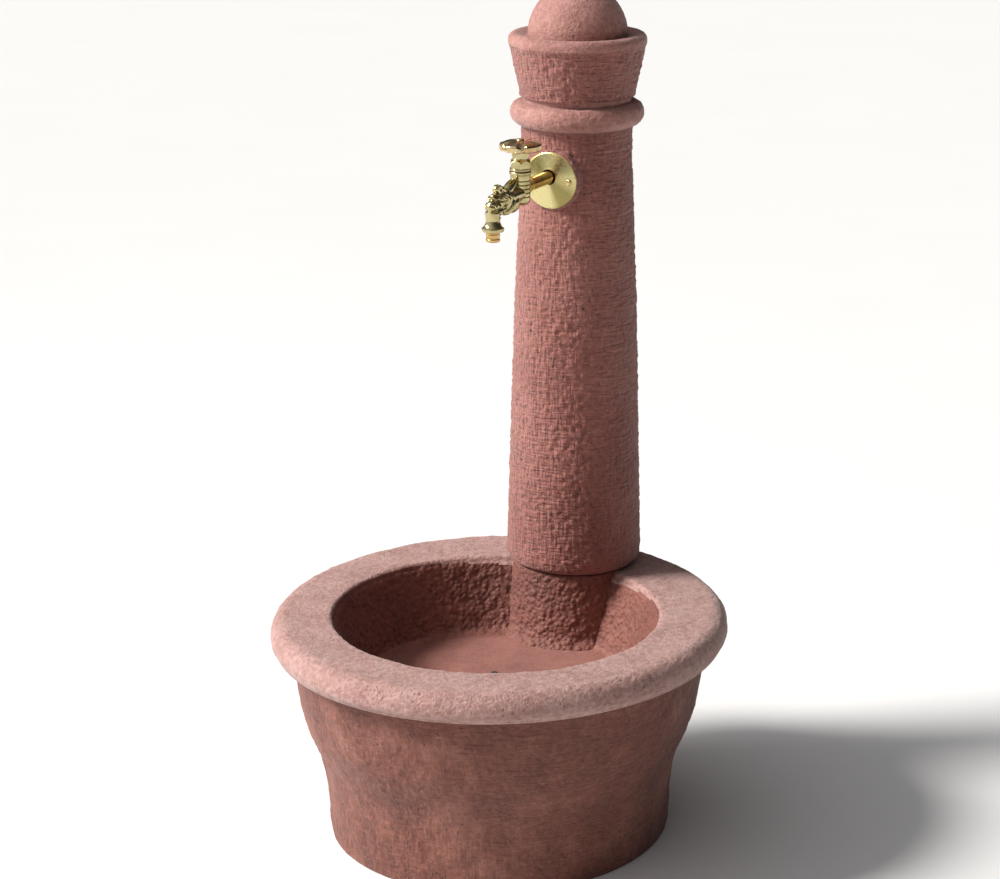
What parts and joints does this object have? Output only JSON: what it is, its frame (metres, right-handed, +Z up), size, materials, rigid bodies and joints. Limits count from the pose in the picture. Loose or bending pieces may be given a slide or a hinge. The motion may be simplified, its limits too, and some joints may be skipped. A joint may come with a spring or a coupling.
{
  "type": "garden fountain with tap",
  "caption": "Free-standing garden fountain: a round column with a ball-topped lid and a brass tap stands at the rear of an oval basin that drains through a stoppered waste.",
  "frame": {"origin": "on the ground, below the middle of the basin", "axes": "+Z up; +X to the right of someone who faces the tap; the tap points to -Y and the column stands towards +Y"},
  "size_m": [0.5008, 0.5384, 0.9193],
  "materials": {
    "stone_plastic": "moulded stone texture, matte, dusty terracotta",
    "polished_brass": "polished",
    "turned_brass": "turned, dull",
    "screw_brass": "satin",
    "screw_steel": "stainless",
    "black_rubber": "matte",
    "fibre": "pressed fibre",
    "grey_plastic": "satin",
    "hose_plastic": "satin"
  },
  "bodies": {
    "root": {"basin": "stone_plastic", "column": "stone_plastic", "column_screws": "screw_steel", "rosette": "polished_brass", "rosette_screws": "screw_brass", "tap_body": "polished_brass", "outlet_nozzle": "polished_brass", "nozzle_washer": "black_rubber", "bonnet": "polished_brass", "bonnet_seal": "fibre", "gland_packing": "fibre", "gland_nut": "polished_brass", "drain_body": "grey_plastic", "drain_gasket": "black_rubber", "drain_nut": "grey_plastic", "inlet_connector": "grey_plastic", "inlet_gasket": "black_rubber", "inlet_nut": "grey_plastic", "inlet_elbow": "turned_brass", "wall_elbow": "turned_brass", "shank_seal": "fibre", "riser_hose": "hose_plastic", "hose_clamps": "screw_steel"},
    "valve": {"jumper_valve": "turned_brass", "seat_washer": "black_rubber", "washer_nut": "turned_brass"},
    "handle": {"spindle": "turned_brass", "knob": "polished_brass", "knob_screw": "screw_brass"},
    "lid": {"capital": "stone_plastic"},
    "stopper": {"drain_plug": "black_rubber"}
  },
  "joints": [
    {"name": "valve_lift", "type": "slide", "parent": "root", "child": "valve", "axis": [0, 0, 1], "range_m": [0, 0.004]},
    {"name": "knob_turn", "type": "hinge", "parent": "valve", "child": "handle", "pos_m": [0, 0.048, 0.745], "axis": [0, 0, 1], "range_deg": [0, 720]},
    {"name": "capital_lift", "type": "slide", "parent": "root", "child": "lid", "axis": [0, 0, 1], "range_m": [0, 0.12]},
    {"name": "plug_lift", "type": "slide", "parent": "root", "child": "stopper", "axis": [0, 0, 1], "range_m": [0, 0.08]}
  ],
  "couplings": [
    {"joint": "knob_turn", "follows": "valve_lift", "rad_per_m": 3141.6}
  ]
}
